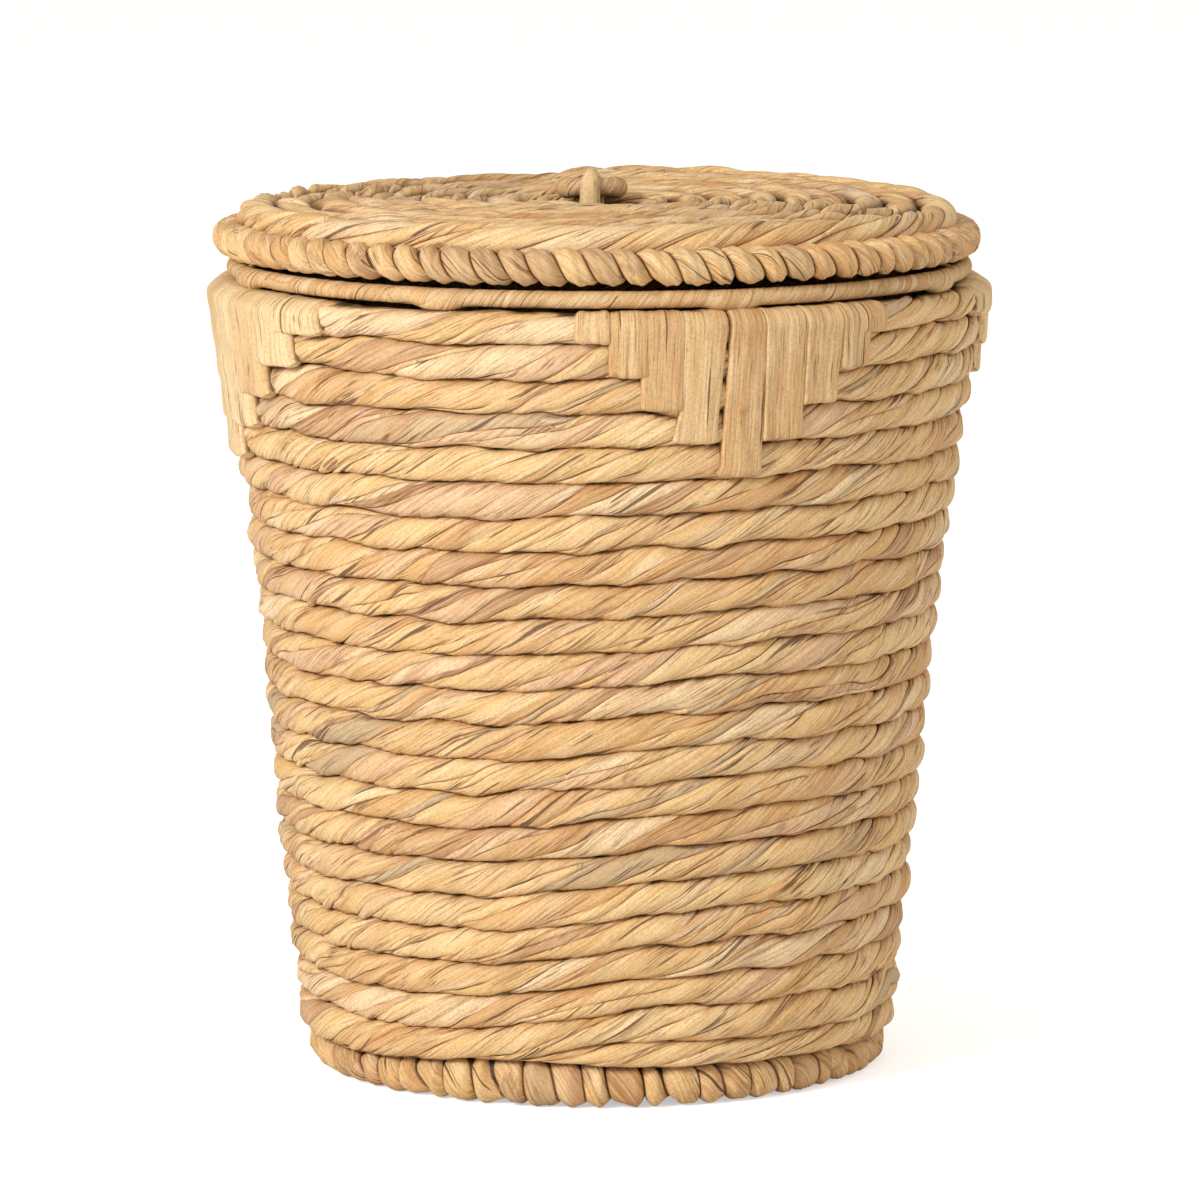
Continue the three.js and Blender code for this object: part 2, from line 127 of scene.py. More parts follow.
# Materials


def node(tree, kind, **settings):
    """A shader node. Settings are its properties, or its inputs by socket name or number."""
    made = tree.nodes.new(kind)
    for key, value in settings.items():
        if hasattr(made, key):
            setattr(made, key, value)
            continue
        socket = made.inputs[int(key[1:])] if key[0] == "_" else made.inputs[key.replace("_", " ")]
        if isinstance(value, bpy.types.NodeSocket):
            tree.links.new(value, socket)
        else:
            socket.default_value = value
    return made


def linear(hex_colour):
    """A linear RGBA colour from an sRGB one written as RRGGBB."""
    parts = [int(hex_colour[k : k + 2], 16) / 255 for k in (0, 2, 4)]
    return [c / 12.92 if c <= 0.04045 else ((c + 0.055) / 1.055) ** 2.4 for c in parts] + [1]


def new_material(name):
    """An empty material and its node tree."""
    material = bpy.data.materials.new(name)
    material.use_nodes = True
    material.node_tree.nodes.clear()
    return material, material.node_tree


def ramp(tree, factor, stops):
    """The colour at a factor, between stops of (place, colour)."""
    made = node(tree, "ShaderNodeValToRGB", _0=factor)
    elements = made.color_ramp.elements
    while len(elements) < len(stops):
        elements.new(0.5)
    for element, (place, colour) in zip(elements, stops):
        element.position = place
        element.color = linear(colour)
    return made.outputs["Color"]


def stretched_noise(tree, vector, stretch, detail):
    """Noise with its own number of waves for each metre along each axis."""
    scaled = node(tree, "ShaderNodeVectorMath", operation="MULTIPLY", _0=vector, _1=stretch)
    made = node(tree, "ShaderNodeTexNoise", Vector=scaled.outputs[0], Scale=1.0, Detail=detail)
    return made.outputs["Fac"]


def remap(tree, value, low, high, to_low=0.0, to_high=1.0):
    """A value moved from one range into another one, and kept inside it."""
    made = node(
        tree,
        "ShaderNodeMapRange",
        Value=value,
        From_Min=low,
        From_Max=high,
        To_Min=to_low,
        To_Max=to_high,
    )
    return made.outputs["Result"]


def math_node(tree, operation, first, second):
    return node(tree, "ShaderNodeMath", operation=operation, _0=first, _1=second).outputs[0]


def product(tree, first, second):
    return math_node(tree, "MULTIPLY", first, second)


def layered(tree, colour, layers):
    """A colour under layers, each with its strength and its own colour. The last one lies on top."""
    for strength, tint in layers:
        made = node(tree, "ShaderNodeMix", data_type="RGBA", _0=strength, _6=colour, _7=linear(tint))
        colour = made.outputs[2]
    return colour


def principled(tree, colour, roughness, bump, specular=0.5):
    """A plain surface, joined to its material's output."""
    surface = node(
        tree,
        "ShaderNodeBsdfPrincipled",
        Base_Color=colour,
        Roughness=roughness,
        Specular_IOR_Level=specular,
        Normal=bump.outputs[0],
    )
    node(tree, "ShaderNodeOutputMaterial", Surface=surface.outputs[0])


# Leaf colours, each with how often it comes. The last OLD_TONES of them are also those of narrow,
# old leaves.

ROPE_TONES = [
    ("E2B97C", 5.0),
    ("EBC78C", 4.0),
    ("DBAC70", 4.0),
    ("E6BF83", 4.0),
    ("D9AD83", 2.8),
    ("EFD2A5", 2.2),
    ("D2A066", 1.8),
    ("C3AF8A", 0.5),
    ("C79C72", 0.5),
    ("A67C58", 0.0),
]
TWIST_TONES = [
    ("DEB377", 5.0),
    ("E4BD81", 3.0),
    ("D7A86D", 4.0),
    ("D6A97B", 1.8),
    ("CFA271", 0.8),
    ("CAAA7E", 0.4),
    ("C2935F", 0.5),
]
STRIP_TONES = [
    ("D5AD77", 4.0),
    ("D9B47F", 3.0),
    ("CFA46E", 3.0),
    ("D8B584", 2.0),
]
# Paler tones for the side lashings, partly their own leaf and partly painted light, standing in for the
# strong key light on the left one
PALE_STRIP_TONES = [
    ("E4C692", 4.0),
    ("E8CC9B", 3.0),
    ("DFBE89", 3.0),
]


def leaf_material(name, tones, cracks_across, thread_strength, fibre_depth):
    """Dry leaf, with its fibres along it.

    The mesh gives leaf_map (metres along and across the leaf, and its tone) and shade, which is up to
    1 where shade is painted into creases, seams and leaf edges that go under their neighbours, and
    down to -1 on a worn edge. cracks_across is how often cracks come in a metre across the leaf.
    """
    material, tree = new_material(name)
    leaf_map = node(tree, "ShaderNodeAttribute", attribute_name="leaf_map").outputs["Vector"]
    shade = node(tree, "ShaderNodeAttribute", attribute_name="shade").outputs["Fac"]
    tone = node(tree, "ShaderNodeSeparateXYZ", _0=leaf_map).outputs[2]

    fine = stretched_noise(tree, leaf_map, (24, 1150, 91), 2)
    fibres = stretched_noise(tree, leaf_map, (24, 680, 57), 2)
    cracks = stretched_noise(tree, leaf_map, (15, cracks_across, 33), 2)
    broad = stretched_noise(tree, leaf_map, (11, 150, 57), 2)
    patches = stretched_noise(tree, leaf_map, (17, 55, 71), 3)
    spots = stretched_noise(tree, leaf_map, (35, 90, 37), 4)
    hairs = stretched_noise(tree, leaf_map, (60, 1200, 63), 1)
    grain = stretched_noise(tree, leaf_map, (620, 980, 45), 3)

    places = [((k + 0.5) / len(tones), colour) for k, (colour, _) in enumerate(tones)]
    drift = remap(tree, patches, 0.3, 0.7, -0.02, 0.02)
    colour = ramp(tree, math_node(tree, "ADD", tone, drift), places)

    # Strengths. Young leaves have other lights than those of the last, old tones.
    young = remap(tree, tone, 0.72, 0.66)
    old = remap(tree, tone, 0.72, 0.78)
    light = remap(tree, broad, 0.45, 0.75, 0, 0.6)
    pale = remap(tree, fine, 0.52, 0.72, 0, 0.3)
    streaks = remap(tree, fibres, 0.48, 0.66, 0, 0.6)
    thread = product(tree, remap(tree, fibres, 0.42, 0.34), remap(tree, patches, 0.35, 0.58, 0.25, 1))
    hair = remap(tree, hairs, 0.36, 0.3, 0, 1.15 * thread_strength)
    hair = product(tree, hair, remap(tree, patches, 0.38, 0.55, 0.3, 1))
    crack = remap(tree, cracks, 0.335, 0.305)
    spot = product(tree, remap(tree, spots, 0.63, 0.7), remap(tree, fine, 0.6, 0.42))
    worn = product(tree, remap(tree, shade, -0.1, -1), remap(tree, spots, 0.6, 0.64))

    layers = [
        (product(tree, light, young), "F6DDB0"),
        (product(tree, light, old), "CFA678"),
        (remap(tree, patches, 0.5, 0.8, 0, 0.5), "C08A52"),
        (remap(tree, fine, 0.5, 0.3, 0, 0.42), "A66C38"),
        (product(tree, pale, young), "FBEBCB"),
        (product(tree, streaks, old), "E2BE90"),
        (remap(tree, grain, 0.6, 0.32, 0, 0.3), "8F6238"),
        (product(tree, thread, thread_strength), "74462A"),
        (hair, "5E3A22"),
        (product(tree, crack, 0.8), "4A2C1A"),
        (product(tree, spot, 0.75), "7A4426"),
        (product(tree, worn, 0.65), "F8EFDC"),
        # The last two layers are painted shade from the mesh's shade: warm brown where it is light, such
        # as under the row above, and near black deep in creases and seams
        (remap(tree, shade, 0.02, 0.5, 0, 0.6), "A56E3A"),
        (remap(tree, shade, 0.22, 1, 0, 0.95), "34200F"),
    ]
    colour = layered(tree, colour, layers)

    height = math_node(tree, "SUBTRACT", product(tree, fine, 0.8), thread)
    height = math_node(tree, "SUBTRACT", height, product(tree, crack, 1.3))
    height = math_node(tree, "ADD", height, product(tree, grain, 0.5))
    bump = node(tree, "ShaderNodeBump", Strength=0.7, Distance=fibre_depth, Height=height)
    principled(tree, colour, remap(tree, fine, 0.3, 0.7, 0.5, 0.68), bump, specular=0.35)
    return material


def wire_material():
    material, tree = new_material("lacquered wire")
    place = node(tree, "ShaderNodeTexCoord").outputs["Object"]
    specks = node(tree, "ShaderNodeTexNoise", Vector=place, Scale=900.0, Detail=3.0).outputs["Fac"]
    wear = node(tree, "ShaderNodeTexNoise", Vector=place, Scale=60.0, Detail=4.0).outputs["Fac"]
    colour = layered(tree, linear("3B2A20"), [(remap(tree, wear, 0.45, 0.7), "59443A")])
    bump = node(tree, "ShaderNodeBump", Strength=0.3, Distance=0.1 * MM, Height=specks)
    principled(tree, colour, remap(tree, specks, 0.3, 0.7, 0.35, 0.5), bump)
    return material


ROPE_LEAF = leaf_material("rope leaf", ROPE_TONES, 270, 0.56, 0.4 * MM)
TWIST_LEAF = leaf_material("twisted leaf", TWIST_TONES, 420, 0.42, 0.35 * MM)
STRIP_LEAF = leaf_material("strip leaf", STRIP_TONES, 560, 0.32, 0.25 * MM)
PALE_STRIP_LEAF = leaf_material("pale strip leaf", PALE_STRIP_TONES, 480, 0.15, 0.2 * MM)
WIRE = wire_material()

# Meshes made of grids

LEAN = 1.4 * MM  # how far the handmade wall stands off its axis at its top, to the camera's right
LEAN_START = 0.15
LEAN_HEIGHT = 0.2


def lean(z):
    return LEAN * smooth((z - LEAN_START) / LEAN_HEIGHT)


class Skin:
    """A mesh gathered from grids of points, each with its leaf_map and shade."""

    def __init__(self):
        self.points, self.faces, self.maps, self.shades = [], [], [], []
        self.count = 0

    def add(self, points, leaf_map, shade, closed=False):
        """points is (stations, across, 3). A closed grid joins its last station to its first."""
        stations, across = points.shape[:2]
        index = np.arange(stations * across).reshape(stations, across) + self.count
        after = np.roll(index, -1, axis=0)
        if not closed:
            index, after = index[:-1], after[:-1]
        quads = np.stack([index[:, :-1], after[:, :-1], after[:, 1:], index[:, 1:]], axis=-1)
        self.points.append(points.reshape(-1, 3))
        self.faces.append(quads.reshape(-1, 4))
        self.maps.append(leaf_map.reshape(-1, 3))
        self.shades.append(shade.reshape(-1))
        self.count += stations * across

    def piece(self, name, material, body, nodes):
        """Makes the finished object, which rides on a body and stands for nodes of the frame."""
        mesh = bpy.data.meshes.new(name)
        points = np.concatenate(self.points)
        if body == "basket":
            points = points + lean(points[:, 2:]) * CAMERA_RIGHT
        mesh.from_pydata(points, [], np.concatenate(self.faces))
        mesh.shade_smooth()
        maps = mesh.attributes.new("leaf_map", "FLOAT_VECTOR", "POINT")
        maps.data.foreach_set("vector", np.concatenate(self.maps).astype(np.float32).ravel())
        shades = mesh.attributes.new("shade", "FLOAT", "POINT")
        shades.data.foreach_set("value", np.concatenate(self.shades).astype(np.float32))
        mesh.materials.append(material)
        made = bpy.data.objects.new(name, mesh)
        bpy.context.collection.objects.link(made)
        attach(made, body)
        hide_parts(*nodes)


# Twisted ropes


@dataclass
class Path:
    """Stations of a rope: where its middle is, which way is out and up, and its half sizes."""

    centre: np.ndarray
    out: np.ndarray
    up: np.ndarray
    half_out: np.ndarray
    half_up: np.ndarray
    distance: np.ndarray
    length: float
    closed: bool


def section(power):
    """A rounded square with half sizes of 1, from the outside over the top: the share of its outline,
    x and z of each point, and the outline's length. A power of 2 makes it round."""
    turn = np.linspace(0, TURN, 721)
    x = np.sign(np.cos(turn)) * np.abs(np.cos(turn)) ** (2 / power)
    z = np.sign(np.sin(turn)) * np.abs(np.sin(turn)) ** (2 / power)
    steps = np.hypot(np.diff(x), np.diff(z))
    share = np.concatenate([[0], np.cumsum(steps)])
    return share / share[-1], x, z, share[-1]


def wobble(rng, turn, waves, size):
    """A smooth closed unevenness over turn, which runs from 0 to 1. waves is the range of how many
    waves go round."""
    picked = rng.choice(np.arange(*waves), 5, replace=False)
    total = sum(np.sin(TURN * (wave * turn + rng.random())) for wave in picked)
    return size * total / math.sqrt(len(picked) / 2)


@dataclass
class Twist:
    """How leaves are laid round a rope."""

    lay: float  # the length of one full turn, below 0 if it turns the other way
    slots: int  # leaves side by side
    profile: np.ndarray  # across a leaf, as SHINGLE
    tones: list
    power: float = 2.0  # of the rope's section
    leaf_length: float = 260 * MM
    evenness: float = 0.0  # 1 where all leaves are equally wide
    crease: float = 0.16  # how high the folds along a leaf are, in millimetres
    crown: float = 0.5  # how far a leaf's middle rises, on the whole, in millimetres
    slant: tuple = (0.0, 0.2)  # the range of angles from the leaf to its fibres, in radians
    sway: float = 0.0  # how uneven the turning is, in turns
    sway_lengths: tuple = (330 * MM, 90 * MM)
    firmness: float = 1.0  # how plain the edges of the leaves are, on the whole
    easing: float = 16 * MM  # how far along a change of width is evened out
    shear: float = 0.0  # how far the rope's top leans along it, for each unit of height


@dataclass
class Leaves:
    """A slot of a rope, with leaf after leaf in it. Each list has one value for each station."""

    width: np.ndarray
    along: np.ndarray
    tone: np.ndarray
    lift: np.ndarray
    crown: np.ndarray
    slant: np.ndarray
    firm: np.ndarray


def eased(values, path, reach):
    """The same values, each evened out with its neighbours up to reach away."""
    near = max(1, round(reach * len(values) / path.length))
    weights = np.hanning(2 * near + 3)[1:-1]
    padded = np.pad(values, near, mode="wrap" if path.closed else "edge")
    return np.convolve(padded, weights / weights.sum(), "valid")


# How leaves come, as shares of the usual length, width and rise. Some of those that are narrower
# than OLD_LEAF_BREADTH are old, and shrunk.

LEAF_LENGTHS = (0.6, 1.4)
LEAF_BREADTHS = (0.35, 1.9)
LEAF_LIFTS = (0.6, 1.5)
OLD_LEAF_BREADTH = 0.85
OLD_LEAF_CHANCE = 0.38
OLD_LEAF_SHRINKAGE = 0.45
OLD_TONES = 3
FIRMNESS_WAVES = (0.083, 0.031)  # their lengths, in metres


def lay_leaves(rng, path, twist):
    """Leaf after leaf in one slot of a rope, each with its own length, width, tone and rise."""
    count = max(2, round(path.length / twist.leaf_length))
    cuts = np.cumsum(rng.uniform(*LEAF_LENGTHS, count))
    cuts = np.concatenate([[0], cuts]) * path.length / cuts[-1]
    at = (path.distance + rng.uniform(0, path.length)) % path.length
    which = np.clip(np.searchsorted(cuts, at, "right") - 1, 0, count - 1)
    along = at - cuts[which]
    share = np.clip(along / (cuts[which + 1] - cuts[which]), 0, 1)

    breadth = rng.uniform(*LEAF_BREADTHS, count)
    chances = np.array([chance for _, chance in twist.tones])
    picked = rng.choice(len(chances), count, p=chances / chances.sum())
    old = (breadth < OLD_LEAF_BREADTH) & (rng.random(count) < OLD_LEAF_CHANCE)
    breadth = np.where(old, breadth * OLD_LEAF_SHRINKAGE, breadth)
    picked = np.where(old, len(chances) - rng.integers(1, OLD_TONES + 1, count), picked)
    tone = (picked + 0.5 + rng.uniform(-0.3, 0.3, count)) / len(chances)
    width = breadth[which] * (0.03 + np.sin(np.pi * share) ** 0.9)
    width = twist.evenness + (1 - twist.evenness) * width

    lift = rng.uniform(*LEAF_LIFTS, count)
    crown = rng.uniform(0.0, 2.0, count) * twist.crown
    slant = rng.uniform(*twist.slant, count)
    width = eased(width, path, twist.easing)
    swing = 0.9 * min(twist.firmness, 1 - twist.firmness)
    waves = sum(np.sin(TURN * (along / length + rng.random())) for length in FIRMNESS_WAVES)
    firm = np.clip(twist.firmness + swing * waves, 0.03, 1)
    return Leaves(width, along, tone[which], lift[which], crown[which], slant[which], firm)


# Across a leaf: share of its width, rise in millimetres, and shade, which is painted shade where the leaf
# goes under its neighbour and under its lip, and below 0 a worn, paler edge

SHINGLE = np.array(
    [
        (-0.14, -1.4, 1.0),
        (0.00, -0.9, 0.8),
        (0.04, -0.5, 0.3),
        (0.10, -0.25, -0.7),
        (0.20, -0.02, -0.2),
        (0.36, 0.12, 0.0),
        (0.55, 0.2, 0.0),
        (0.74, 0.2, 0.0),
        (0.90, 0.1, 0.0),
        (0.98, -0.1, 0.1),
        (1.00, -1.1, 1.0),
    ]
)


def lobe(depth, points=21):
    """A rounded strand, whose sides fall by depth millimetres, with painted shade in the creases at its
    sides.
    """
    share = (1 - np.cos(np.linspace(0, math.pi, points))) / 2
    fall = np.abs(2 * share - 1)
    return np.stack([share, -depth * fall**2.6, np.clip(fall * 7.5 - 6.5, 0, 1)], axis=1)


FULL_LEAF = 0.45  # a leaf that fills less than this share of its slot is flatter
FULL_ROPE = 6 * MM  # and so are the leaves of a rope with half sizes below this
FOLD_LENGTH = 0.11


def fibre_places(ahead, round_rope, angle):
    """Places along and across fibres that lie at an angle to the rope."""
    along = ahead * np.cos(angle) + round_rope * np.sin(angle)
    across = round_rope * np.cos(angle) - ahead * np.sin(angle)
    return along, across


def leaf_height(rng, leaves, twist, share, half, along):
    """How far the surface of a slot's leaves stands off the rope. share is their share of the outline."""
    reach, rise, shade = (column[None, :] for column in twist.profile.T)
    fade = np.clip(share * twist.slots / FULL_LEAF, 0, 1)
    folds = np.sin(TURN * (rng.uniform(1.2, 2.6) * reach + along / FOLD_LENGTH + rng.random()))
    height = rise * leaves.lift[:, None] * (0.3 + 0.7 * leaves.firm[:, None])
    height = height + leaves.crown[:, None] * np.sin(np.pi * np.clip(reach, 0, 1)) * fade
    height = height + twist.crease * folds * (1 - np.abs(shade)) * fade - 0.5 * (1 - fade)
    return height * MM * np.minimum(1, half / FULL_ROPE)


def rope_points(path, x, z, height, shear):
    """Points of a rope's surface, at places x and z of its section and raised by height."""
    side = np.cross(path.up, path.out)
    rise_up = (path.half_up[:, None] + height) * z
    return (
        path.centre[:, None, :]
        + path.out[:, None, :] * ((path.half_out[:, None] + height) * x)[..., None]
        + path.up[:, None, :] * rise_up[..., None]
        + side[:, None, :] * (shear * rise_up)[..., None]
    )


def twisted(skin, rng, path, twist, groove=None):
    """Leaves laid side by side round a rope. groove gives the painted shade for a place on its section.
    """
    share_table, x_table, z_table, outline = section(twist.power)
    count = len(path.distance)
    turns = path.length / twist.lay
    if path.closed:
        turns = round(turns)
    travelled = path.distance / path.length
    start = turns * travelled
    if twist.sway:
        waves = [round(path.length / reach) for reach in twist.sway_lengths]
        start = start + wobble(rng, travelled, waves, twist.sway)
    slots = [lay_leaves(rng, path, twist) for _ in range(twist.slots)]
    total = sum(leaves.width for leaves in slots)
    half = (path.half_out + path.half_up)[:, None] / 2
    girth = outline * half.mean()
    rope_angle = math.atan(girth * turns / path.length)
    steep = np.sqrt(1 + (outline * half / twist.lay) ** 2)
    reach, _, shade = (column[None, :] for column in twist.profile.T)
    for leaves in slots:
        share = (leaves.width / total)[:, None]
        place = (start[:, None] + reach * share) % 1
        x = np.interp(place, share_table, x_table)
        z = np.interp(place, share_table, z_table)

        # The same place along the leaf is at a later station further across it
        later = reach * share * twist.lay * (1 - steep**-2) * count / path.length
        later = np.round(later).astype(int)
        station = np.arange(count)[:, None] + later
        station = station % count if path.closed else np.clip(station, 0, count - 1)

        # The fibres lie straight on the rope's surface, at their leaf's own angle to the rope
        ahead = leaves.along[station] - later * path.length / count
        round_rope = turns * ahead / path.length + (start - turns * travelled)[:, None] + reach * share
        along, across = fibre_places(ahead, round_rope * girth, rope_angle + leaves.slant[station])
        leaf_map = np.stack([along, across, leaves.tone[station]], axis=-1)

        height = leaf_height(rng, leaves, twist, share, half, along)
        # Painted shade at the leaf edges, stronger where the edges are firm
        shades = np.where(shade > 0, shade * leaves.firm[:, None], shade)
        if groove is not None:
            dark = groove(x, z)
            shades = np.where(dark > np.abs(shades), dark, shades)
        skin.add(rope_points(path, x, z, height, twist.shear), leaf_map, shades, path.closed)
        start = start + share[:, 0]


def circle_path(radius, z, half_out, half_up, station):
    """A level ring. radius, z and the half sizes are numbers or functions of the turn, 0 to 1."""
    mean_radius = radius(np.zeros(1))[0] if callable(radius) else radius
    count = round(TURN * mean_radius / station)
    turn = np.arange(count) / count
    angle = angle_at(turn)

    def value(item):
        return np.full(count, item(turn) if callable(item) else item)

    middle = value(radius)
    out = np.stack([np.cos(angle), np.sin(angle), np.zeros(count)], axis=1)
    up = np.tile([0.0, 0.0, 1.0], (count, 1))
    centre = out * middle[:, None] + up * value(z)[:, None]
    length = TURN * mean_radius
    return Path(centre, out, up, value(half_out), value(half_up), turn * length, length, True)


# The wall: rows between shared uneven seams. The rope starts with a short extra row at the bottom,
# at the front, and the rows above climb over it, the lower ones the most.

SKIN = 0.5 * MM  # room left inside the frame's rope for the leaves' rise
START_HEIGHT = 17 * MM
START_ANGLES = np.radians([-142, -82, 20, 190])  # it begins, is full, thins out and ends
START_SHARES = (0, 1, 0.8, 0)
START_KICK = (-110, 17, 8.3 * MM)  # a rise near its beginning: middle and reach in degrees, and height
FOOT_RISES = [(-129, 22, 7 * MM), (-80, 38, 3.6 * MM)]  # where the foot stands higher, in the same way
TOP_ROW_CUT = 2.6 * MM  # how much lower the top row is than the others
BELLY = 1.6 * MM  # how much fuller the rows are near BELLY_ROW
BELLY_ROW = 6.5
BELLY_REACH = 3.5
SEAM_WAVES = (5, 24)
SEAM_RIPPLES = (28, 75)
SEAM_UNEVENNESS = 0.75 * MM
ROW_STEPS = (-0.7, 0.5)  # the range of how far a row stands out, in millimetres
ROW_BULGE = 0.6 * MM
ROW_BULGE_LIMITS = (-6 * MM, 2.4 * MM)
THIN_ROW = 15 * MM  # a row thinner than this sinks in, by up to THIN_ROW_SINK
THIN_ROW_SINK = 5 * MM
ROPE_LAY = 140 * MM
ROPE_SLOTS = 5
WALL_TWIST = Twist(
    ROPE_LAY,
    ROPE_SLOTS,
    SHINGLE,
    ROPE_TONES,
    power=2.7,
    leaf_length=280 * MM,
    crown=0.8,
    slant=(0.02, 0.22),
    sway=0.02,
    firmness=0.6,
    easing=34 * MM,
)

ROW_SIZES = [ring_size(f"wall_row_{k + 1:02d}") for k in range(ROW_COUNT)]
ROW_MIDDLES = [(low + high) / 2 for _, low, high in ROW_SIZES]
ROW_RADII = [outside for outside, _, _ in ROW_SIZES]


def bulge_at(angle, middle, reach, size):
    """A smooth rise on the way round, with its middle and reach in degrees."""
    away = turned_from(angle, math.radians(middle))
    return size * np.exp(-((away / math.radians(reach)) ** 2))


def foot_rise(angle):
    """How much higher the foot reaches at an angle than in the frame."""
    return sum(bulge_at(angle, *rise) for rise in FOOT_RISES)


def wall_bottom(angle):
    return ROW_SIZES[0][1] + foot_rise(angle)


def start_rise(angle):
    """How far the extra row at the bottom lifts the rows above it."""
    turned = (angle - START_ANGLES[0]) % TURN
    places = START_ANGLES - START_ANGLES[0]
    return START_HEIGHT * smooth(np.interp(turned, places, START_SHARES))


def seam_height(k, angle):
    """The height of the seam over row k, counted from 1. 0 is the bottom of row 1."""
    level = ROW_SIZES[0][1] if k == 0 else ROW_SIZES[-1][2]
    if 0 < k < ROW_COUNT:
        level = (ROW_SIZES[k - 1][2] + ROW_SIZES[k][1]) / 2 + TOP_ROW_CUT
    level = level + start_rise(angle) * (1 - k / ROW_COUNT) + bulge_at(angle, *START_KICK) * 0.5**k
    return np.maximum(level, wall_bottom(angle)) if k == 0 else level


def wall_radius(z):
    """The outside of the wall at a height."""
    return np.interp(z, ROW_MIDDLES, ROW_RADII)


def row_path(seed, lower, upper, fuller):
    """A row between two seams, given as functions of the turn. fuller is how far it bulges besides."""
    rng = np.random.default_rng(seed)
    step_out = rng.uniform(*ROW_STEPS) * MM + fuller
    bulge_seed = rng.integers(1 << 30)

    def middle(turn):
        return (lower(turn) + upper(turn)) / 2

    def thickness(turn):
        return np.maximum(upper(turn) - lower(turn), 0.4 * MM)

    def bulge(turn):
        uneven = wobble(np.random.default_rng(bulge_seed), turn, (6, 30), ROW_BULGE)
        thin = THIN_ROW_SINK * (1 - np.clip(thickness(turn) / THIN_ROW, 0, 1))
        return np.clip(uneven + step_out - thin, *ROW_BULGE_LIMITS)

    return circle_path(
        lambda turn: wall_radius(middle(turn)) - ROW_DEPTH / 2 + bulge(turn) / 2,
        middle,
        lambda turn: ROW_DEPTH / 2 - SKIN + bulge(turn) / 2,
        lambda turn: thickness(turn) / 2 - 0.1 * MM,
        STATION,
    )


def build_wall():
    """All rows, and the extra one at the bottom as a part of the first."""
    rng = np.random.default_rng(WALL_SEED)
    seeds = rng.integers(1 << 30, size=ROW_COUNT + 1)
    strengths = rng.integers(1 << 30, size=ROW_COUNT + 1)

    def seam(k):
        uneven = SEAM_UNEVENNESS * (0.25 if k in (0, ROW_COUNT) else 1.0)

        def level(turn):
            height = seam_height(k, angle_at(turn))
            height = height + wobble(np.random.default_rng(seeds[k]), turn, SEAM_WAVES, uneven)
            ripples = wobble(np.random.default_rng(seeds[k] + 1), turn, SEAM_RIPPLES, 0.35 * uneven)
            return height + ripples

        return level

    def seam_shade(k):
        """Painted shade in the seams over and under row k, which comes and goes, and a soft painted
        shadow on the top of the row, under the one above.
        """

        def shade(x, z):
            turn = np.arange(len(z)) / len(z)
            over = wobble(np.random.default_rng(strengths[k]), turn, (20, 90), 0.3)[:, None]
            under = wobble(np.random.default_rng(strengths[k - 1]), turn, (20, 90), 0.3)[:, None]
            strength = np.clip(0.7 + np.where(z > 0, over, under), 0.28, 1)
            soft = 0.16 * np.clip((z - 0.5) / 0.4, 0, 1)
            return np.maximum(strength * np.clip((np.abs(z) - 0.86) / 0.13, 0, 1) ** 1.3, soft)

        return shade

    for k in range(1, ROW_COUNT + 1):
        fuller = BELLY * math.exp(-(((k - BELLY_ROW) / BELLY_REACH) ** 2))
        ring_rng = np.random.default_rng(ROW_SEED + k)
        skin = Skin()
        path = row_path(ROW_SEED + k, seam(k - 1), seam(k), fuller)
        twisted(skin, ring_rng, path, WALL_TWIST, seam_shade(k))
        if k == 1:
            path = row_path(START_ROW_SEED, lambda turn: wall_bottom(angle_at(turn)), seam(0), 0.0)
            twisted(skin, ring_rng, path, WALL_TWIST, seam_shade(1))
        name = f"wall_row_{k:02d}"
        skin.piece(f"{name}_rope", ROPE_LEAF, "basket", [name])


# Coils of the lid and the base

COIL_SAMPLES = 6000
COIL_END = 7 * MM  # how far from its ends the rope is rounded
THINNEST_END = 1.5 * MM
COIL_TWIST = Twist(
    ROPE_LAY,
    ROPE_SLOTS,
    SHINGLE,
    ROPE_TONES,
    power=2.1,
    crown=1.7,
    sway=0.03,
    firmness=0.95,
    easing=24 * MM,
)


def coil_sag(radius, out):
    """The share of its greatest sag that a coil has at a place. It sags at the back left, in the
    middle and at the sides."""
    aside = out @ CAMERA_RIGHT
    left = smooth((20 * MM - radius * aside) / (70 * MM))
    back = smooth((out @ CAMERA_BACK + 0.2) / 0.4)
    middle = 0.6 * smooth((75 * MM - radius) / (45 * MM))
    sides = 0.95 * smooth((radius - 150 * MM) / (40 * MM)) * aside**2
    return np.maximum(np.maximum(left * back, middle), sides)


